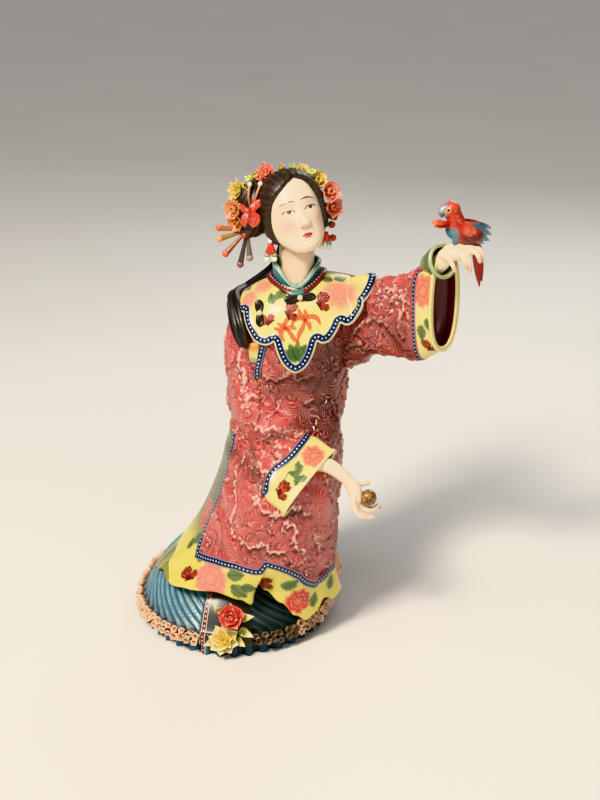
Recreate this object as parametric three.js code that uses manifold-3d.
// A seated lady in a carved and painted robe, a glazed ceramic figurine about 23 cm tall.
// Millimetres, +Z up. She faces -Y, her raised left arm points to +X, and the origin is on the
// table under the middle of the whole figure.
import * as THREE from "three";
import { LoftGeometry } from "three/addons/geometries/LoftGeometry.js";
import { mergeVertices } from "three/addons/utils/BufferGeometryUtils.js";
import Module from "manifold-3d";

const wasm = await Module();
wasm.setup();

const TURN = 2 * Math.PI;
const radians = THREE.MathUtils.degToRad;

// Driving dimensions. Each body ring is
// [height, centre x, centre y, reach to the left, right, front, back].
const COAT_RINGS = [
  [173, -1.5, -2, 8, 8, 8, 8],
  [169, -2, -2, 17, 16, 11, 11],
  [160, -2.5, -2, 25.5, 23.5, 17.5, 15],
  [148, -3, -3, 26.5, 26.5, 22, 16.5],
  [134, -4, -3, 26, 27.2, 22, 17],
  [121, -5, -4, 25, 27.4, 20, 18],
  [111, -6, -5, 26, 27.6, 22, 23],
  [104, -7, -6, 27, 28.2, 28, 27],
  [98, -8, -7, 27, 28.3, 37, 30],
  [91, -9, -8, 26.5, 30, 46.5, 32],
  [80, -11, -8.5, 27, 32, 50.5, 35],
  [66, -13, -9, 30, 32.3, 50.5, 38],
  [52, -16, -9, 33.5, 34.8, 50, 41],
  [38, -20, -9.5, 39, 38.5, 48.5, 45],
  [26, -23, -10, 46, 42.5, 46.5, 49],
  [18, -24, -10, 50, 46, 46, 51],
];
// How far the hem lies above its lowest ring, as [angle, rise], from left round to right.
const HEM_RISE = [
  [-180, 0],
  [-120, -1],
  [-100, 0],
  [-84, 6],
  [-62, 14],
  [-57, 8.5],
  [-50, 10.5],
  [-35, 13.3],
  [-20, 14],
  [-5, 11.5],
  [1, 8],
  [3.5, 18.5],
  [10, 13.5],
  [19, 7.5],
  [27, 0],
  [34, -4],
  [41, -1.5],
  [48, 4],
  [56, 1],
  [64, 3],
  [76, 3],
  [90, 0],
  [120, -1],
  [180, 0],
];
const COAT_ROUND = 40;
const COAT_STEPS = 17;
// The hem turns under in two steps of [inset, rise].
const HEM_TURN = [
  [2, 0.5],
  [12, 6],
];
const HEM_START = 0.8;
const FLAP_RAISE = 1.5;
const FLAP_RIGHT_ANGLE = 66;
const FLAP_TOP_SHARE = 0.55;
// The flap's free left edge as [share of the fall, angle].
const FLAP_EDGE = [
  [0.55, -92],
  [0.7, -96],
  [0.8, -102],
  [0.85, -97],
  [0.88, -85],
  [0.91, -68],
  [0.955, -57],
  [1, -51],
];
const LAP_VALLEY = { angle: 8, depth: 6, width: 6, spread: 3 };
const KNEES = { share: 0.66, spread: 0.08, below: 0.5, rise: 3, angles: [-20, 40], width: 13 };
// Each set of folds is [count round the body, start angle, depth].
const HEM_FOLDS = [
  [7, 40, 1.1],
  [11, 90, 0.7],
];
const WAIST_FOLDS = { share: 0.38, spread: 0.09, count: 9, depth: 0.6 };

const SKIRT_CENTRE = [-33.5, -8];
const SKIRT_REACH = { left: 46.5, right: 47, front: 51, back: 60 };
// Each skirt level is [height, share of the full reach, pleat depth, ruffle depth].
const SKIRT_LEVELS = [
  [34, 0.62, 0.6, 0],
  [27.5, 0.76, 0.9, 0],
  [21, 0.87, 1.1, 0],
  [12, 0.98, 1.1, 0],
  [11, 1.02, 0.4, 0],
  [6, 1.03, 0.4, 0],
  [5, 0.99, 0, 0.8],
  [0, 1.0, 0, 1.3],
];
const SKIRT_ROUND = 96;
const PLEATS = 48;
// How far round, in degrees for each millimetre down, the pleats sweep.
const PLEAT_SWEEP = 2;
const RUFFLES = 20;

const CAPE_ROUND = 36;
// How far the cape falls for its reach from the neck, as [reach, height], on each side.
const CAPE_FALL = {
  front: [[9, 170], [16, 168.5], [22, 161.5], [26, 148.5], [29, 134.5]],
  right: [[9, 175.5], [16, 176], [24, 174.8], [32, 173], [38, 171.5]],
  back: [[9, 174.5], [14.5, 170], [19.5, 160], [21, 147], [21.5, 138]],
  left: [[9, 174.5], [16, 172], [23.5, 168], [30.5, 161], [34, 151]],
};
const CAPE_SHARES = [0, 0.3, 0.6, 0.82, 1];
const CAPE_THICKNESS = 3;
const CAPE_UNDERCUT = 0.6;
const CAPE_EVEN = 0.82;
const LOBE_ROUND = 0.55;
// The cape's edge as cusps of [angle, share of the fall, how far the lobe after it bulges].
const CAPE_CUSPS = [
  [-135, 0.8, 0.12],
  [-98, 0.74, 0.1],
  [-62, 0.7, 0.12],
  [-23, 0.78, 0.215],
  [20.5, 0.79, 0.07],
  [43, 0.82, 0.11],
  [60, 0.92, 0.08],
  [84, 0.9, 0.08],
  [118, 0.8, 0.13],
  [152, 0.82, 0.16],
  [190, 0.83, 0.1],
  [225, 0.8, 0.12],
];

// Each sleeve ring is [centre, half width vector, half thickness].
const RAISED_SLEEVE = [
  [[8, -3, 156], [0, 0, 12], 9],
  [[25, -5, 150.5], [0, 0, 21.5], 10.5],
  [[37, -15, 157.5], [0, 0, 18.5], 9.5],
  [[52, -27.5, 161.2], [0, 0, 20.2], 8.6],
  [[54.5, -30, 162.3], [0, 0, 22], 8.8],
  [[60, -36, 167], [0, 0, 22.7], 8.8],
  [[65.5, -42, 172.7], [0, 0, 22.5], 9],
];
const RAISED_CUFF_DEPTH = 11;
const LAP_SLEEVE = [
  [[-16, -1, 160], [0, 9, -2], 8],
  [[-23.5, -2, 152], [0, 12, -1], 10.5],
  [[-25, -5, 133], [0, 13.5, 0], 10.5],
  [[-24.5, -9, 115], [-2, 15, -3], 10.5],
  [[-21, -19, 102], [-7, 9, -13], 9.5],
  [[-14, -33.5, 98], [-11, -6, -12.5], 8.5],
  [[-6.5, -48, 95.2], [-10.5, -10, -11], 7.6],
  [[-3.5, -50, 93.6], [-11.3, -10.6, -11.6], 7.8],
  [[5, -54.6, 88.8], [-11.7, -9.6, -11.5], 6.4],
];
const LAP_CUFF_DEPTH = 9;
const CUFF_WALL = 1.6;
const SLEEVE_SQUARE = 0.85;
const SLEEVE_FOLDS = { count: 3, twist: 14, depth: 0.07 };
const SLEEVE_ROUND = 20;
const INNER_CUFF = {
  centre: [63.3, -44, 191.6],
  axis: [0.55, -0.75, 0.32],
  radius: 8,
  rootRadius: 6,
  length: 9,
  wall: 1.6,
  hollow: 0.6,
};

const NECK = { from: [-1.6, -1.5, 160], to: [-1.5, -1.5, 194], radius: 7.6 };
const COLLAR = {
  centre: [-1.6, -1.5],
  radius: 11.2,
  wall: 1.8,
  base: 166.5,
  side: 182.5,
  dip: 12.5,
  dipWidth: 32,
  flare: 0.4,
};
const COLLAR_ROUND = 18;
const HEAD = { centre: [-3.3, -4, 205.2], turn: 18, lift: 20, lean: 12 };
// Each head ring is [height, half width, front, back] from the chin to the crown.
const HEAD_RINGS = [
  [-20, 2.2, -11.4, -7.5],
  [-18.2, 6.2, -13.2, -2],
  [-13, 10.4, -13.8, 6],
  [-6, 12.2, -14.2, 12],
  [1, 13, -14.4, 16],
  [7, 13, -13.6, 17.4],
  [12.5, 11.6, -11.8, 16.4],
  [16.6, 8, -8, 12],
  [18.8, 2.8, -2, 5],
];
const HAIR_SCALE = [1.2, 1.12, 1.06];
const HAIR_SHIFT = [0, 2.4, 0.6];
const HAIRLINE = { height: 13.5, front: -13.5, slope: 55 };
const CHIGNON = { centre: [0, 19, -1], radii: [11, 8, 12] };
const SIDE_BUN = { centre: [-22.5, 0, 206], radii: [8.5, 8, 13] };
const NOSE = { base: [0, -13.8, 1], tip: [0, -16, -4.6] };

// Flowers of the wreath as [place, radius, petals].
const WREATH = [
  [[-29, -1, 214], 6.4, 9],
  [[-31, -3, 207.2], 6.4, 5],
  [[-30.5, -3, 200.6], 5.8, 5],
  [[-23, 1, 220], 3.8, 5],
  [[-16, 1, 223], 5.6, 5],
  [[-7.5, 1, 224.8], 4, 5],
  [[0, 1, 224.4], 4, 5],
  [[7.3, 0, 220.6], 5.8, 5],
  [[13, -1, 214.8], 6.2, 5],
  [[15.8, -1, 207.6], 5.8, 5],
  [[-9, 22, 212], 7, 6],
  [[-18, 18, 205], 6, 5],
  [[1, 19, 208], 6, 5],
];
const WREATH_STEM = 9;
const WREATH_TILT = 26;
const HAIRPIN_ROOT = [-25, -2, 196.5];
const HAIRPIN_TIPS = [
  [-39, -4, 198.5],
  [-37.5, -4, 193],
  [-35, -4, 186],
  [-28.4, -4, 181],
];
const HAIRPIN_RADIUS = 0.9;
const BUTTERFLY = { centre: [-22.5, -8.5, 206], size: 7.5, thickness: 1.6, waist: 0.45 };
const BUTTERFLY_TURN = { swing: -38, lean: -35 };
const FEELERS = [
  [[-24, -7.4, 213], [-23.4, -6, 219]],
  [[-20.6, -8.6, 213.5], [-18.4, -7.5, 219.5]],
];
const FEELER_RADIUS = 0.7;
const PIN_HEAD_RADIUS = 1.6;
const PIN_ROOT_RADIUS = 5;
const EARRINGS = [
  { top: [-13.8, -8.5, 193], lobe: [-7.8, -4.5, 195], drop: 9.5 },
  { top: [12, -5.5, 198], lobe: [6, -1.5, 200], drop: 9 },
];
const EARRING = { bead: 1.5, tassel: 2.8, spread: 1.7, length: 0.6 };
const TAIL_OF_HAIR = [
  [-5, 15.5, 188, 4.5],
  [-10, 17, 173, 5],
  [-24, 12, 163, 5],
  [-30.4, 1, 162.5, 4.6],
  [-30, -8, 159.5, 4.6],
  [-28.8, -14, 154, 4.5],
  [-27.6, -16.6, 148.5, 3.9],
  [-27, -16.6, 144.5, 2.6],
];
const FROGS = [
  { centre: [0, -18.6, 167.6], along: [1, 0.12, 0.1], length: 12 },
  { centre: [-19, -19.4, 160.6], along: [0.06, -0.4, -0.9], length: 10 },
];
const FROG_RADIUS = 1.3;

const RIGHT_ARM = {
  points: [[-6, -46, 96], [12, -51, 96.5], [23.3, -52.2, 88.4]],
  radii: [3.6, 3.5, 2.7],
};
const RIGHT_PALM = {
  points: [[22.3, -52, 89.4], [25.2, -52.6, 85.2], [26.6, -53, 80.4]],
  radii: [2.7, 3.5, 2.8],
};
const RIGHT_FINGERS = [
  [[26.5, -51, 80.6], [29, -50.6, 75.6], [33.4, -50.4, 74], [37.7, -50.6, 74.6]],
  [[26.8, -52.5, 80], [29.2, -52.8, 75.2], [33, -53, 74.4], [37, -53.4, 77.4]],
  [[25.8, -54, 81], [27.2, -54.8, 74.6], [30.6, -55.2, 71.8], [34.4, -55.2, 72]],
  [[24.8, -55, 83.4], [25.2, -56.4, 77.8], [27.4, -57, 73.8], [30.6, -57, 72]],
];
const RIGHT_THUMB = [[26.4, -50, 86.4], [29.4, -49, 86], [32.4, -48.4, 86.2]];
const LEFT_ARM = {
  points: [[57, -34, 184], [62, -40, 189.5], [65, -42.5, 193.5]],
  radii: [3.6, 3.4, 3.1],
};
const LEFT_PALM = {
  points: [[64, -42, 193.4], [68.6, -43.6, 197], [75.2, -45, 197]],
  radii: [3, 3.5, 2.8],
};
const LEFT_FINGERS = [
  [[74.6, -47.2, 197], [77.6, -48.4, 196.4], [79.2, -49, 192.6]],
  [[74.2, -45.6, 197.6], [79.2, -46, 197.2], [80.6, -46.6, 192.4]],
  [[71.6, -47.4, 195.6], [73.4, -49.4, 192.6], [74.8, -50, 188]],
  [[69.4, -47.4, 195.4], [71.4, -50, 192.8], [72.4, -50.8, 188.6]],
];
const LEFT_THUMB = [[65.4, -45, 196], [65.8, -49, 193.6], [67.8, -50.4, 189.4]];
const FINGER_RADIUS = [1.35, 1.2, 0.8];

const BALL = { centre: [32, -53.3, 80.8], radius: 3.9 };

const APRON = { angle: -3, halfWidth: 16, top: 0.74, raise: 1.3 };
const HEM_FLOWERS = [
  { centre: [-33.2, -61.4, 22], axis: [0, -0.85, 0.5], radius: 7.4, petals: 5, depth: 5 },
  { centre: [-36.6, -62.2, 10.2], axis: [-0.05, -0.9, 0.4], radius: 7.8, petals: 8, depth: 4 },
];
const HEM_LEAVES = [
  [[-27, -58, 19], [-18.5, -62, 17.5]],
  [[-25, -61, 14], [-19.5, -62, 9.5]],
  [[-29, -61, 9], [-23.5, -62.5, 4]],
  [[-40, -60, 9], [-46.5, -59.5, 3.5]],
  [[-40, -59, 19], [-45.5, -57.5, 21.5]],
];

// The clearance between the lady and each loose piece.
const GAP = 0.3;
const BIRD = {
  body: { centre: [72.3, -44.6, 204.6], radii: [8.6, 4.6, 4.9], lean: 12 },
  head: { centre: [66.2, -46, 214.6], radii: [4, 3.9, 4.3] },
  neck: [[69.5, -45.2, 206], [66.6, -46, 214]],
  beak: [[63.6, -46.6, 216], [61.4, -47, 214.2], [62, -46.8, 211.8]],
  tail: [[76, -42.5, 203], [80, -40.3, 194.5], [82.6, -39.6, 178.5]],
  feet: 198.6,
};
const BIRD_WINGS = [
  [[68.5, -48.2, 209], [76, -46.5, 206], [84.6, -40.5, 201.8]],
  [[71, -41.5, 209.5], [78.5, -39, 206.5], [84.8, -36.8, 204.6]],
  [[65, -47.6, 209.6], [61, -49.6, 210.2], [57.6, -50.4, 210.4]],
];
const LEG_PLACES = [68.5, 72.5];

const CERAMIC_ROSE = 0xb0434f;
const FEATHER_RED = 0xc4402f;
const GLAZED_BROWN = 0x9a6a3a;

// A smooth curve through evenly spaced rows of numbers, read at a share from 0 to 1.
function along(rows, share) {
  const place = Math.min(Math.max(share, 0), 1) * (rows.length - 1);
  const i = Math.min(Math.floor(place), rows.length - 2);
  const t = place - i;
  const [a, b, c, d] = [i - 1, i, i + 1, i + 2].map(
    (k) => rows[Math.min(Math.max(k, 0), rows.length - 1)],
  );
  return b.map((_, k) => {
    const [p, q, r, s] = [a[k], b[k], c[k], d[k]];
    return q + 0.5 * t * (r - p + t * (2 * p - 5 * q + 4 * r - s + t * (3 * (q - r) + s - p)));
  });
}

const smooth = (low, high, x) => THREE.MathUtils.smoothstep(x, low, high);
const bell = (x, width) => Math.exp(-(x * x) / (2 * width * width));
const vector = (p) => new THREE.Vector3(...p);
const steps = (count) => Array.from({ length: count }, (_, i) => i);

// The signed difference of two angles in degrees, from -180 to 180.
function turnBetween(a, b) {
  return ((((a - b + 180) % 360) + 360) % 360) - 180;
}

// A manifold-3d solid from a closed three.js geometry, turned face out.
function solid(geometry) {
  const plain = new THREE.BufferGeometry().copy(geometry);
  plain.deleteAttribute("normal");
  plain.deleteAttribute("uv");
  const merged = mergeVertices(plain, 1e-4);
  const corners = merged.index.array;
  const kept = [];
  for (let i = 0; i < corners.length; i += 3) {
    const [a, b, c] = [corners[i], corners[i + 1], corners[i + 2]];
    if (a !== b && b !== c && c !== a) kept.push(a, b, c);
  }
  const build = (list) =>
    new wasm.Manifold(
      new wasm.Mesh({
        numProp: 3,
        vertProperties: merged.attributes.position.array,
        triVerts: new Uint32Array(list),
      }),
    );
  const made = build(kept);
  return made.volume() < 0 ? build(kept.reverse()) : made;
}

// A skin through rings of points, drawn in to the middle of its first and last ring.
function skin(rings) {
  const point = (ring) => {
    const middle = ring.reduce((sum, p) => sum.add(p), new THREE.Vector3());
    middle.divideScalar(ring.length);
    return ring.map(() => middle.clone());
  };
  return solid(new LoftGeometry([point(rings[0]), ...rings, point(rings.at(-1))]));
}

const joined = (solids) => solids.reduce((whole, piece) => whole.add(piece));

// A point on an oval ring whose four reaches differ. Angle 0 is the front and 90 the right.
function ovalPoint([height, cx, cy, left, right, front, back], degrees, grow = 0) {
  const s = Math.sin(radians(degrees));
  const c = Math.cos(radians(degrees));
  const reachX = (s > 0 ? right : left) + grow;
  const reachY = (c > 0 ? front : back) + grow;
  return new THREE.Vector3(cx + reachX * s, cy - reachY * c, height);
}

// How far the coat's cloth stands off its plain oval: knees, the valley between them, folds.
function coatRelief(share, degrees) {
  const low = smooth(HEM_START, 1, share);
  const height = bell(share - KNEES.share, KNEES.spread) + KNEES.below * low;
  const knees = KNEES.angles.reduce(
    (sum, angle) => sum + height * bell(turnBetween(degrees, angle), KNEES.width),
    0,
  );
  const { angle, depth, width, spread } = LAP_VALLEY;
  const valley = depth * low * bell(turnBetween(degrees, angle), width + spread * (1 - low));
  const folds = HEM_FOLDS.reduce(
    (sum, [count, start, deep]) => sum + low * deep * Math.sin(radians(degrees * count + start)),
    0,
  );
  const creases =
    WAIST_FOLDS.depth *
    bell(share - WAIST_FOLDS.share, WAIST_FOLDS.spread) *
    Math.sin(radians(degrees * WAIST_FOLDS.count));
  return KNEES.rise * knees - valley + folds + creases;
}

// 1 where the front flap of the coat covers its back panel, 0 elsewhere.
function flapCover(share, degrees) {
  if (share <= FLAP_TOP_SHARE) return 0;
  const next = Math.max(FLAP_EDGE.findIndex(([at]) => at >= share), 1);
  const [[a, from], [b, to]] = [FLAP_EDGE[next - 1], FLAP_EDGE[next]];
  const leftEdge = THREE.MathUtils.mapLinear(share, a, b, from, to);
  return degrees > leftEdge && degrees < FLAP_RIGHT_ANGLE ? 1 : 0;
}

function hemRise(degrees) {
  const next = HEM_RISE.findIndex(([angle]) => angle >= degrees);
  if (next <= 0) return HEM_RISE[0][1];
  const [[a, low], [b, high]] = [HEM_RISE[next - 1], HEM_RISE[next]];
  return THREE.MathUtils.lerp(low, high, smooth(a, b, degrees));
}

function coatPoint(share, degrees, inset = 0) {
  const ring = along(COAT_RINGS, share);
  const stand = coatRelief(share, degrees) + FLAP_RAISE * flapCover(share, degrees) - inset;
  const p = ovalPoint(ring, degrees, stand);
  p.z += hemRise(degrees) * smooth(HEM_START, 1, share);
  return p;
}

function coat() {
  const angles = steps(COAT_ROUND).map((i) => (360 * i) / COAT_ROUND - 180);
  const rings = steps(COAT_STEPS + 1).map((i) => {
    const share = i / COAT_STEPS;
    return angles.map((a) => coatPoint(share, a));
  });
  const turned = HEM_TURN.map(([inset, rise]) =>
    angles.map((a) => {
      const p = coatPoint(1, a, inset);
      p.z += rise;
      return p;
    }),
  );
  return skin([...rings, ...turned]);
}

function skirtPoint([height, share, pleat, ruffle], straight) {
  const { left, right, front, back } = SKIRT_REACH;
  const fold = Math.abs(Math.sin(radians((straight * PLEATS) / 2)));
  const degrees = turnBetween(straight + PLEAT_SWEEP * (SKIRT_LEVELS[0][0] - height), 0);
  const ripple = Math.sin(radians(degrees * RUFFLES)) * ruffle;
  const inApron = Math.abs(turnBetween(degrees, APRON.angle)) < APRON.halfWidth;
  const apron = inApron && share > APRON.top ? APRON.raise : 0;
  const grow = (apron > 0 ? apron : pleat * (fold - 0.5)) + ripple;
  const sizes = [left, right, front, back].map((reach) => reach * share);
  return ovalPoint([height, ...SKIRT_CENTRE, ...sizes], degrees, grow);
}

function skirt() {
  const rings = SKIRT_LEVELS.map((level) =>
    steps(SKIRT_ROUND).map((i) => skirtPoint(level, (360 * i) / SKIRT_ROUND - 180)),
  );
  return skin(rings);
}

// The height and reach of the shoulder cape at a share of its fall, looking one way.
function capePoint(share, degrees, inset = 0) {
  const s = Math.sin(radians(degrees));
  const c = Math.cos(radians(degrees));
  const sides = [
    [CAPE_FALL.front, Math.max(c, 0) ** 2],
    [CAPE_FALL.back, Math.max(-c, 0) ** 2],
    [CAPE_FALL.right, Math.max(s, 0) ** 2],
    [CAPE_FALL.left, Math.max(-s, 0) ** 2],
  ];
  const [reach, height] = sides.reduce(
    ([r, h], [fall, weight]) => {
      const [fr, fh] = along(fall, share);
      return [r + weight * fr, h + weight * fh];
    },
    [0, 0],
  );
  const [cx, cy] = COLLAR.centre;
  const wide = reach - inset;
  return new THREE.Vector3(cx + wide * s, cy - wide * c, height - inset * CAPE_UNDERCUT);
}

// How far down its fall the cape's edge lies: round-shouldered pointed lobes between cusps.
function capeEdge(degrees) {
  const angle = degrees < CAPE_CUSPS[0][0] ? degrees + 360 : degrees;
  const next = CAPE_CUSPS.findIndex(([at]) => at > angle);
  const [a, low, bulge] = CAPE_CUSPS[next - 1];
  const [b, high] = CAPE_CUSPS[next];
  const t = (angle - a) / (b - a);
  const off = Math.abs(2 * t - 1);
  const round = LOBE_ROUND * (1 - off ** 3) + (1 - LOBE_ROUND) * (1 - off);
  return THREE.MathUtils.lerp(low, high, t) + bulge * round;
}

function cape() {
  const angles = steps(CAPE_ROUND).map((i) => (360 * i) / CAPE_ROUND - 180);
  const ring = (share, inset) =>
    angles.map((a) => {
      const lobed = THREE.MathUtils.lerp(CAPE_EVEN, capeEdge(a), share ** 3);
      return capePoint(share * lobed, a, inset);
    });
  const outer = CAPE_SHARES.map((share) => ring(share, 0));
  return skin([...outer, ring(1, CAPE_THICKNESS)]);
}

// A sleeve's ring: a rounded slot set square to the sleeve's run.
function sleeveRing(rows, share, shrink, folds) {
  const row = along(rows, share);
  const ahead = along(rows, Math.min(share + 0.01, 1));
  const behind = along(rows, Math.min(share + 0.01, 1) - 0.02);
  const run = vector(ahead.slice(0, 3)).sub(vector(behind.slice(0, 3))).normalize();
  const centre = vector(row.slice(0, 3));
  const wide = vector(row.slice(3, 6));
  const side = new THREE.Vector3().crossVectors(wide, run).normalize();
  const across = wide.clone().normalize();
  const half = wide.length() - shrink;
  const thick = row[6] - shrink;
  return steps(SLEEVE_ROUND).map((i) => {
    const angle = (TURN * i) / SLEEVE_ROUND;
    const c = Math.cos(angle);
    const s = Math.sin(angle);
    const square = (v) => Math.sign(v) * Math.abs(v) ** SLEEVE_SQUARE;
    const ripple = 1 + folds * Math.sin(SLEEVE_FOLDS.count * angle + share * SLEEVE_FOLDS.twist);
    return centre
      .clone()
      .addScaledVector(across, half * square(c))
      .addScaledVector(side, thick * square(s) * ripple);
  });
}

// A sleeve with an open cuff: out along its rings, round the rim, and back to the cuff's bottom.
function sleeve(rows, cuffDepth, lengthSteps) {
  const flat = rows.map(([centre, wide, thick]) => [...centre, ...wide, thick]);
  const outer = steps(lengthSteps + 1).map((i) =>
    sleeveRing(
      flat,
      i / lengthSteps,
      0,
      SLEEVE_FOLDS.depth * Math.sin((Math.PI * i) / lengthSteps),
    ),
  );
  const centres = flat.map((row) => vector(row.slice(0, 3)));
  const length = new THREE.CatmullRomCurve3(centres).getLength();
  const bottom = 1 - cuffDepth / length;
  const inner = [1, (1 + bottom) / 2, bottom].map((share) =>
    sleeveRing(flat, share, CUFF_WALL, 0),
  );
  return skin([...outer, ...inner]);
}

// A round bar through points, with a radius at each, and rounded ends.
function bar(points, radii, sides = 8, between = 2) {
  const rows = points.map((p, i) => [...p, radii[Math.min(i, radii.length - 1)]]);
  const count = (rows.length - 1) * between;
  const curve = steps(count + 1).map((i) => along(rows, i / count));
  const runs = curve.map((_, i) => {
    const a = vector(curve[Math.max(i - 1, 0)]);
    return vector(curve[Math.min(i + 1, count)]).sub(a).normalize();
  });
  const first = Math.abs(runs[0].z) < 0.9 ? new THREE.Vector3(0, 0, 1) : new THREE.Vector3(0, 1, 0);
  let side = new THREE.Vector3().crossVectors(first, runs[0]).normalize();
  const ring = (row, run, scale, shift) => {
    side = side.clone().addScaledVector(run, -side.dot(run)).normalize();
    const other = new THREE.Vector3().crossVectors(run, side);
    const middle = vector(row).addScaledVector(run, shift * row[3]);
    return steps(sides).map((i) => {
      const angle = (TURN * i) / sides;
      return middle
        .clone()
        .addScaledVector(side, Math.cos(angle) * row[3] * scale)
        .addScaledVector(other, Math.sin(angle) * row[3] * scale);
    });
  };
  const rings = curve.map((row, i) => ring(row, runs[i], 1, 0));
  return skin([
    ring(curve[0], runs[0], 0.6, -0.6),
    ...rings,
    ring(curve[count], runs[count], 0.6, 0.6),
  ]);
}

function ellipsoid(centre, radii, across = 12, down = 7) {
  const ball = new THREE.SphereGeometry(1, across, down);
  return ball.scale(...radii).translate(...centre);
}

const FLOWER_STEM_WIDTH = 0.4;
// A flower's rings as [share of its radius, height by its depth, how deep the petals part].
const FLOWER_RINGS = [
  [1, 0.2, 0.28],
  [0.3, 0.35, 0],
];

// A flower as a lobed cup with a raised middle, facing along its axis.
function flower(centre, axis, radius, petals, depth, stem = depth * 0.5) {
  const around = petals * 2;
  const ring = (share, height, lobes) =>
    steps(around).map((i) => {
      const angle = (TURN * i) / around;
      const reach = radius * share * (1 - lobes * (0.5 - 0.5 * Math.cos(petals * angle)));
      return new THREE.Vector3(Math.cos(angle) * reach, Math.sin(angle) * reach, height);
    });
  const cup = skin([
    ring(FLOWER_STEM_WIDTH, -stem, 0),
    ...FLOWER_RINGS.map(([share, height, lobes]) => ring(share, height * depth, lobes)),
  ]);
  const place = new THREE.Matrix4().compose(
    vector(centre),
    new THREE.Quaternion().setFromUnitVectors(new THREE.Vector3(0, 0, 1), vector(axis).normalize()),
    new THREE.Vector3(1, 1, 1),
  );
  return cup.transform(place.elements);
}

const headPlace = new THREE.Matrix4().compose(
  vector(HEAD.centre),
  new THREE.Quaternion().setFromEuler(
    new THREE.Euler(-radians(HEAD.lift), -radians(HEAD.lean), radians(HEAD.turn), "ZYX"),
  ),
  new THREE.Vector3(1, 1, 1),
);

function headRing([height, half, front, back], count = 16) {
  const middle = (front + back) / 2;
  const deep = (back - front) / 2;
  return steps(count).map((i) => {
    const angle = (TURN * i) / count;
    const c = Math.cos(angle);
    const square = Math.sign(c) * Math.abs(c) ** 0.9;
    return new THREE.Vector3(half * Math.sin(angle), middle - deep * square, height);
  });
}

function skull() {
  const count = 9;
  return skin(steps(count + 1).map((i) => headRing(along(HEAD_RINGS, i / count))));
}

// The hair is the skull grown a little, cut away in front of the hairline.
function hair() {
  const grown = skull().scale(HAIR_SCALE).translate(HAIR_SHIFT);
  const face = new THREE.BoxGeometry(60, 60, 60).translate(0, -30, -30);
  face.rotateX(radians(90 - HAIRLINE.slope));
  face.translate(0, HAIRLINE.front, HAIRLINE.height);
  const under = new THREE.BoxGeometry(60, 60, 30).translate(0, 0, -27);
  return grown
    .subtract(solid(face))
    .subtract(solid(under))
    .add(solid(ellipsoid(CHIGNON.centre, CHIGNON.radii)));
}

function head() {
  const nose = bar([NOSE.base, NOSE.tip], [1, 1.8], 6);
  return joined([skull(), hair(), nose]).transform(headPlace.elements);
}

function wreath() {
  return WREATH.map(([place, radius, petals]) => {
    const outward = vector(place).sub(vector(HEAD.centre)).normalize().multiplyScalar(20);
    outward.y += place[1] < 10 ? -WREATH_TILT : WREATH_TILT / 2;
    return flower(place, outward.toArray(), radius, petals, radius * 0.8, WREATH_STEM);
  });
}

// A butterfly brooch: two pairs of wings cut from plate.
function butterfly() {
  const { centre, size, thickness, waist } = BUTTERFLY;
  const corners = 24;
  const outline = new THREE.Shape(
    steps(corners).map((i) => {
      const angle = (TURN * i) / corners;
      const wings = waist + (1 - waist) * Math.abs(Math.sin(2 * angle + 0.5)) ** 0.7;
      return new THREE.Vector2(Math.cos(angle) * size * wings, Math.sin(angle) * size * wings);
    }),
  );
  const plate = new THREE.ExtrudeGeometry(outline, { depth: thickness, bevelEnabled: false });
  plate.rotateX(radians(90));
  plate.rotateZ(radians(BUTTERFLY_TURN.swing)).rotateY(radians(BUTTERFLY_TURN.lean));
  return solid(plate.translate(...centre));
}

function headdress() {
  const pins = HAIRPIN_TIPS.flatMap((tip) => [
    bar([HAIRPIN_ROOT, tip], [HAIRPIN_RADIUS], 5, 1),
    solid(ellipsoid(tip, Array(3).fill(PIN_HEAD_RADIUS), 6, 4)),
  ]);
  const root = solid(ellipsoid(HAIRPIN_ROOT, Array(3).fill(PIN_ROOT_RADIUS), 8, 5));
  const bun = solid(ellipsoid(SIDE_BUN.centre, SIDE_BUN.radii, 10, 6));
  const feelers = FEELERS.map((points) => bar([BUTTERFLY.centre, ...points], [FEELER_RADIUS], 5, 1));
  return [...wreath(), ...pins, root, bun, butterfly(), ...feelers];
}

function earrings() {
  const { bead, tassel, spread, length } = EARRING;
  return EARRINGS.flatMap(({ top, lobe, drop }) => {
    const [x, y, z] = top;
    const cone = new THREE.ConeGeometry(tassel, drop * length, 6).rotateX(radians(90));
    const drops = [-spread, spread].map((side) =>
      solid(ellipsoid([x + side, y, z - drop * 0.83], [bead, bead, bead * 1.25], 6, 4)),
    );
    return [bar([top, lobe], [bead], 6, 1), solid(cone.translate(x, y, z - drop * 0.42)), ...drops];
  });
}

// The stand-up collar: a band round the neck, low in front where its two ends meet.
function collar() {
  const { radius, wall, base, side, dip, dipWidth, flare, centre } = COLLAR;
  const ring = (reach, isTop) =>
    steps(COLLAR_ROUND).map((i) => {
      const degrees = (360 * i) / COLLAR_ROUND - 180;
      const height = isTop ? side - dip * bell(degrees, dipWidth) : base;
      const grow = isTop ? flare : 0;
      return ovalPoint([height, ...centre, reach, reach, reach, reach], degrees, grow);
    });
  const inner = radius - wall;
  return skin([ring(radius, false), ring(radius, true), ring(inner, true), ring(inner, false)]);
}

function frogs() {
  return FROGS.flatMap(({ centre, along: line, length }) => {
    const half = vector(line).normalize().multiplyScalar(length / 2);
    const ends = [-1, 1].map((way) => vector(centre).addScaledVector(half, way).toArray());
    return [
      bar([ends[0], centre, ends[1]], [FROG_RADIUS * 1.2, FROG_RADIUS * 0.7], 6, 1),
      solid(ellipsoid(centre, [1.5, 1.5, 1.5], 8, 6)),
    ];
  });
}

function tailOfHair() {
  return bar(
    TAIL_OF_HAIR.map((row) => row.slice(0, 3)),
    TAIL_OF_HAIR.map((row) => row[3]),
    8,
    1,
  );
}

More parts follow.
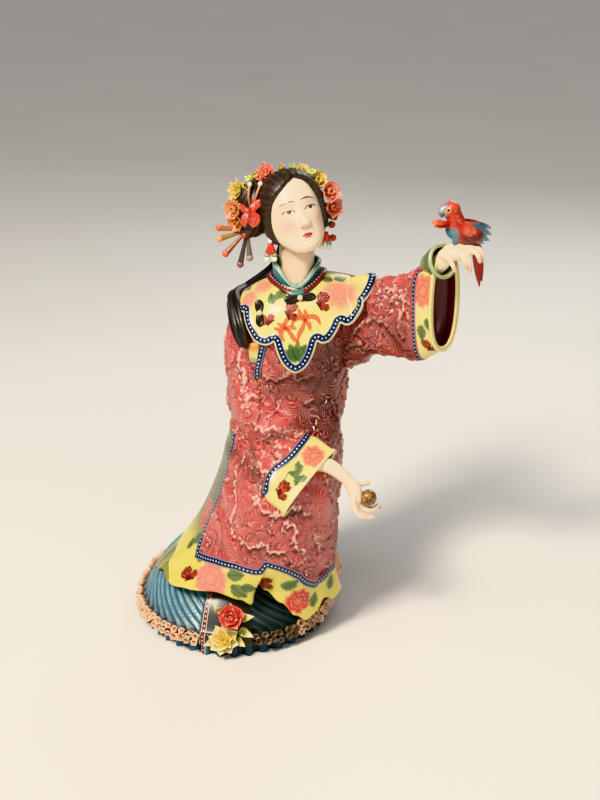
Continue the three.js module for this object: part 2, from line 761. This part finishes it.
// The green under-sleeve: a short ring standing out of the raised cuff round the wrist.
function innerCuff() {
  const { centre, axis, radius, rootRadius, length, wall, hollow } = INNER_CUFF;
  const bore = radius - wall;
  const profile = [
    [0, -length],
    [rootRadius, -length],
    [radius, 0],
    [bore, 0],
    [rootRadius - wall, -length * hollow],
    [0, -length * hollow],
  ].map(([reach, height]) => new THREE.Vector2(reach, height));
  const ring = new THREE.LatheGeometry(profile, 12);
  const up = new THREE.Vector3(0, 1, 0);
  const turn = new THREE.Quaternion().setFromUnitVectors(up, vector(axis).normalize());
  return solid(ring.applyQuaternion(turn).translate(...centre));
}

function hand(arm, palm, fingers, thumb) {
  return [
    bar(arm.points, arm.radii, 8, 1),
    bar(palm.points, palm.radii, 8, 1),
    ...fingers.map((finger) => bar(finger, FINGER_RADIUS, 6, 1)),
    bar(thumb, FINGER_RADIUS, 6, 1),
  ];
}

function hemFlowers() {
  const flowers = HEM_FLOWERS.map(({ centre, axis, radius, petals, depth }) =>
    flower(centre, axis, radius, petals, depth),
  );
  const leaves = HEM_LEAVES.map(([root, tip]) => {
    const middle = vector(root).lerp(vector(tip), 0.5).toArray();
    return bar([root, middle, tip], [2, 2.2, 0.8], 5, 1);
  });
  const pad = solid(ellipsoid([-33, -57, 14], [10, 5, 12], 10, 6));
  return [...flowers, ...leaves, pad];
}

function ballSolid(grow = 0) {
  const { centre, radius } = BALL;
  return solid(ellipsoid(centre, Array(3).fill(radius + grow), 14, 8));
}

// A wing or tail feather fan: a flat blade widest in its middle.
function blade(points, width, thickness, flatAlong) {
  const rows = points.map((p, i) => [...p, [0.6, 1, 0.35][i]]);
  const flat = vector(flatAlong).normalize();
  const rings = steps(4).map((i) => {
    const row = along(rows, i / 3);
    const run = vector(points.at(-1)).sub(vector(points[0])).normalize();
    const across = new THREE.Vector3().crossVectors(flat, run).normalize();
    return steps(6).map((k) => {
      const angle = (TURN * k) / 6;
      return vector(row)
        .addScaledVector(across, Math.cos(angle) * width * row[3])
        .addScaledVector(flat, Math.sin(angle) * thickness);
    });
  });
  return skin(rings);
}

function birdSolid(grow = 0) {
  const { body, head: crown, neck, beak, tail, feet } = BIRD;
  const more = (sizes) => sizes.map((size) => size + grow);
  const trunk = ellipsoid([0, 0, 0], more(body.radii), 12, 7).rotateY(radians(body.lean));
  const legs = LEG_PLACES.map((x) =>
    bar([[x, -45, 202], [x, -45.2, feet]], more([1.2, 1.3]), 5, 1),
  );
  const feather = (points, width, thickness, flatAlong) =>
    blade(points, width + grow, thickness + grow, flatAlong);
  return joined([
    solid(trunk.translate(...body.centre)),
    solid(ellipsoid(crown.centre, more(crown.radii), 10, 6)),
    bar(neck, more([4.4, 3.7]), 8, 1),
    bar(beak, more([1.9, 1.5, 0.5]), 6, 1),
    feather(tail, 2.6, 1, [0.3, -1, 0.1]),
    feather(BIRD_WINGS[0], 4.6, 1.2, [0.25, -0.9, 0.35]),
    feather(BIRD_WINGS[1], 4.2, 1.1, [0.1, 0.6, 0.8]),
    feather(BIRD_WINGS[2], 2.6, 1.1, [-0.1, -0.4, 0.9]),
    ...legs,
  ]);
}

// A three.js mesh that shows a manifold-3d solid.
function meshOf(name, shape, colour, roughness) {
  const { numProp, vertProperties, triVerts } = shape.getMesh();
  const count = vertProperties.length / numProp;
  const place = new Float32Array(count * 3);
  steps(count).forEach((i) => {
    place.set(vertProperties.subarray(i * numProp, i * numProp + 3), i * 3);
  });
  const geometry = new THREE.BufferGeometry();
  geometry.setAttribute("position", new THREE.BufferAttribute(place, 3));
  geometry.setIndex(new THREE.BufferAttribute(triVerts, 1));
  geometry.computeVertexNormals();
  const material = new THREE.MeshStandardMaterial({ color: colour, roughness, metalness: 0 });
  const mesh = new THREE.Mesh(geometry, material);
  mesh.name = name;
  return mesh;
}

const clay = joined([
  coat(),
  skirt(),
  cape(),
  sleeve(RAISED_SLEEVE, RAISED_CUFF_DEPTH, 8),
  sleeve(LAP_SLEEVE, LAP_CUFF_DEPTH, 10),
  bar([NECK.from, NECK.to], [NECK.radius], 14, 1),
  collar(),
  head(),
  ...headdress(),
  ...earrings(),
  ...frogs(),
  tailOfHair(),
  innerCuff(),
  ...hand(RIGHT_ARM, RIGHT_PALM, RIGHT_FINGERS, RIGHT_THUMB),
  ...hand(LEFT_ARM, LEFT_PALM, LEFT_FINGERS, LEFT_THUMB),
  ...hemFlowers(),
]);

const tableTop = solid(new THREE.BoxGeometry(400, 400, 40).translate(0, 0, -20));
const bird = birdSolid();
const lady = clay.subtract(tableTop).subtract(ballSolid(GAP)).subtract(birdSolid(GAP));

const figure = new THREE.Group();
figure.add(
  meshOf("figurine", lady, CERAMIC_ROSE, 0.3),
  meshOf("bird", bird, FEATHER_RED, 0.3),
  meshOf("ball", ballSolid(), GLAZED_BROWN, 0.35),
);

const box = new THREE.Box3().setFromObject(figure);
const middle = box.getCenter(new THREE.Vector3());
figure.position.set(-middle.x, -middle.y, -box.min.z);

export default figure;
